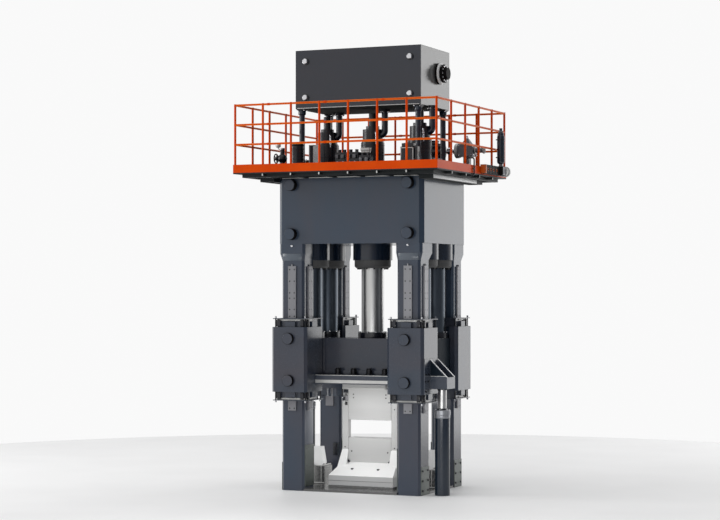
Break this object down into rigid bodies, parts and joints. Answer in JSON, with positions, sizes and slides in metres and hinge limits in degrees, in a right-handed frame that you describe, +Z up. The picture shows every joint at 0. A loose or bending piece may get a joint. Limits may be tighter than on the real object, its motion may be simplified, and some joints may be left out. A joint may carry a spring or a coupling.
{
  "type": "hydraulic press",
  "caption": "Four-column hydraulic press: a sliding ram with a die between columns, five cylinders in the crown, and a railed maintenance platform under a raised oil tank",
  "frame": {"origin": "on the floor, at the centre of the press between the four columns", "axes": "X runs left to right seen from the front, Y runs front to back, Z runs up"},
  "size_m": [4.0203, 3.428, 7.78],
  "materials": {
    "slate_paint": "satin slate-grey machine paint",
    "pin_steel": "satin grey paint over turned steel",
    "rail_steel": "ground steel guide strips",
    "foot_plate_steel": "dark oiled steel plate",
    "box_paint": "dark navy paint",
    "barrel_paint": "dark navy gloss paint",
    "gland_steel": "dark oiled steel",
    "black_bolt_steel": "blackened steel bolts",
    "rod_chrome": "polished hard chrome",
    "wiper_steel": "black painted plate",
    "die_steel": "machined bright steel",
    "bolster_steel": "dark machined steel",
    "wedge_steel": "machined steel blocks",
    "lift_head_steel": "grey painted gland head",
    "deck_steel": "dark grey paint on rolled steel",
    "orange_paint": "gloss safety-orange paint",
    "tank_paint": "satin slate-grey machine paint",
    "valve_paint": "dark navy gloss paint",
    "equipment_paint": "near-black gloss paint",
    "shaft_steel": "turned steel",
    "handwheel_paint": "black gloss paint",
    "manifold_paint": "orange and black painted block"
  },
  "bodies": {
    "frame": {"accumulator": "equipment_paint", "base_plate": "slate_paint", "bolster": "bolster_steel", "column_back_left": "slate_paint", "column_back_right": "slate_paint", "column_box": "box_paint", "column_front_left": "slate_paint", "column_front_right": "slate_paint", "crown": "slate_paint", "crown_pins": "pin_steel", "cylinder_caps": "valve_paint", "die_posts": "die_steel", "filter_and_cooler": "equipment_paint", "foot_plates": "foot_plate_steel", "gland_bolts": "black_bolt_steel", "gland_rings": "gland_steel", "guide_rails": "rail_steel", "lift_heads": "lift_head_steel", "lift_tubes": "barrel_paint", "lower_die": "die_steel", "lower_die_shoe": "die_steel", "motor": "equipment_paint", "platform_deck": "deck_steel", "platform_frame": "deck_steel", "port_manifold": "manifold_paint", "prefill_valves": "valve_paint", "press_barrels": "barrel_paint", "pump": "equipment_paint", "railing_back": "orange_paint", "railing_front": "orange_paint", "railing_left": "orange_paint", "railing_right": "orange_paint", "side_valve": "equipment_paint", "side_wedges": "wedge_steel", "stop_valve": "equipment_paint", "suction_pipes": "valve_paint", "tank_knobs": "pin_steel", "tank_legs": "tank_paint", "tank_lid": "tank_paint", "tank_port": "tank_paint", "tank_shell": "tank_paint", "valve_blocks": "equipment_paint", "wedge_bases": "wedge_steel"},
    "slide": {"slide_beam": "slate_paint", "slide_plate": "slate_paint", "slide_nuts": "black_bolt_steel", "housing_front_left": "slate_paint", "housing_front_right": "slate_paint", "housing_back_left": "slate_paint", "housing_back_right": "slate_paint", "housing_pins": "pin_steel", "wiper_frames": "wiper_steel", "wiper_bolts": "black_bolt_steel", "press_rods": "rod_chrome", "rod_rings": "gland_steel", "upper_die": "die_steel", "lift_arms": "slate_paint", "lift_rods": "rod_chrome"},
    "handwheel": {"handwheel": "handwheel_paint"},
    "pump_shaft": {"pump_shaft": "shaft_steel"}
  },
  "joints": [
    {"name": "slide_travel", "type": "slide", "parent": "frame", "child": "slide", "axis": [0, 0, 1], "range_m": [-0.31, 0.8]},
    {"name": "handwheel_turn", "type": "hinge", "parent": "frame", "child": "handwheel", "pos_m": [-1.5, -0.6, 5.88], "axis": [-1, 0, 0], "range_deg": [0, 360]},
    {"name": "shaft_spin", "type": "hinge", "parent": "frame", "child": "pump_shaft", "pos_m": [1.1, 0.9, 6.035], "axis": [1, 0, 0], "continuous": true}
  ]
}
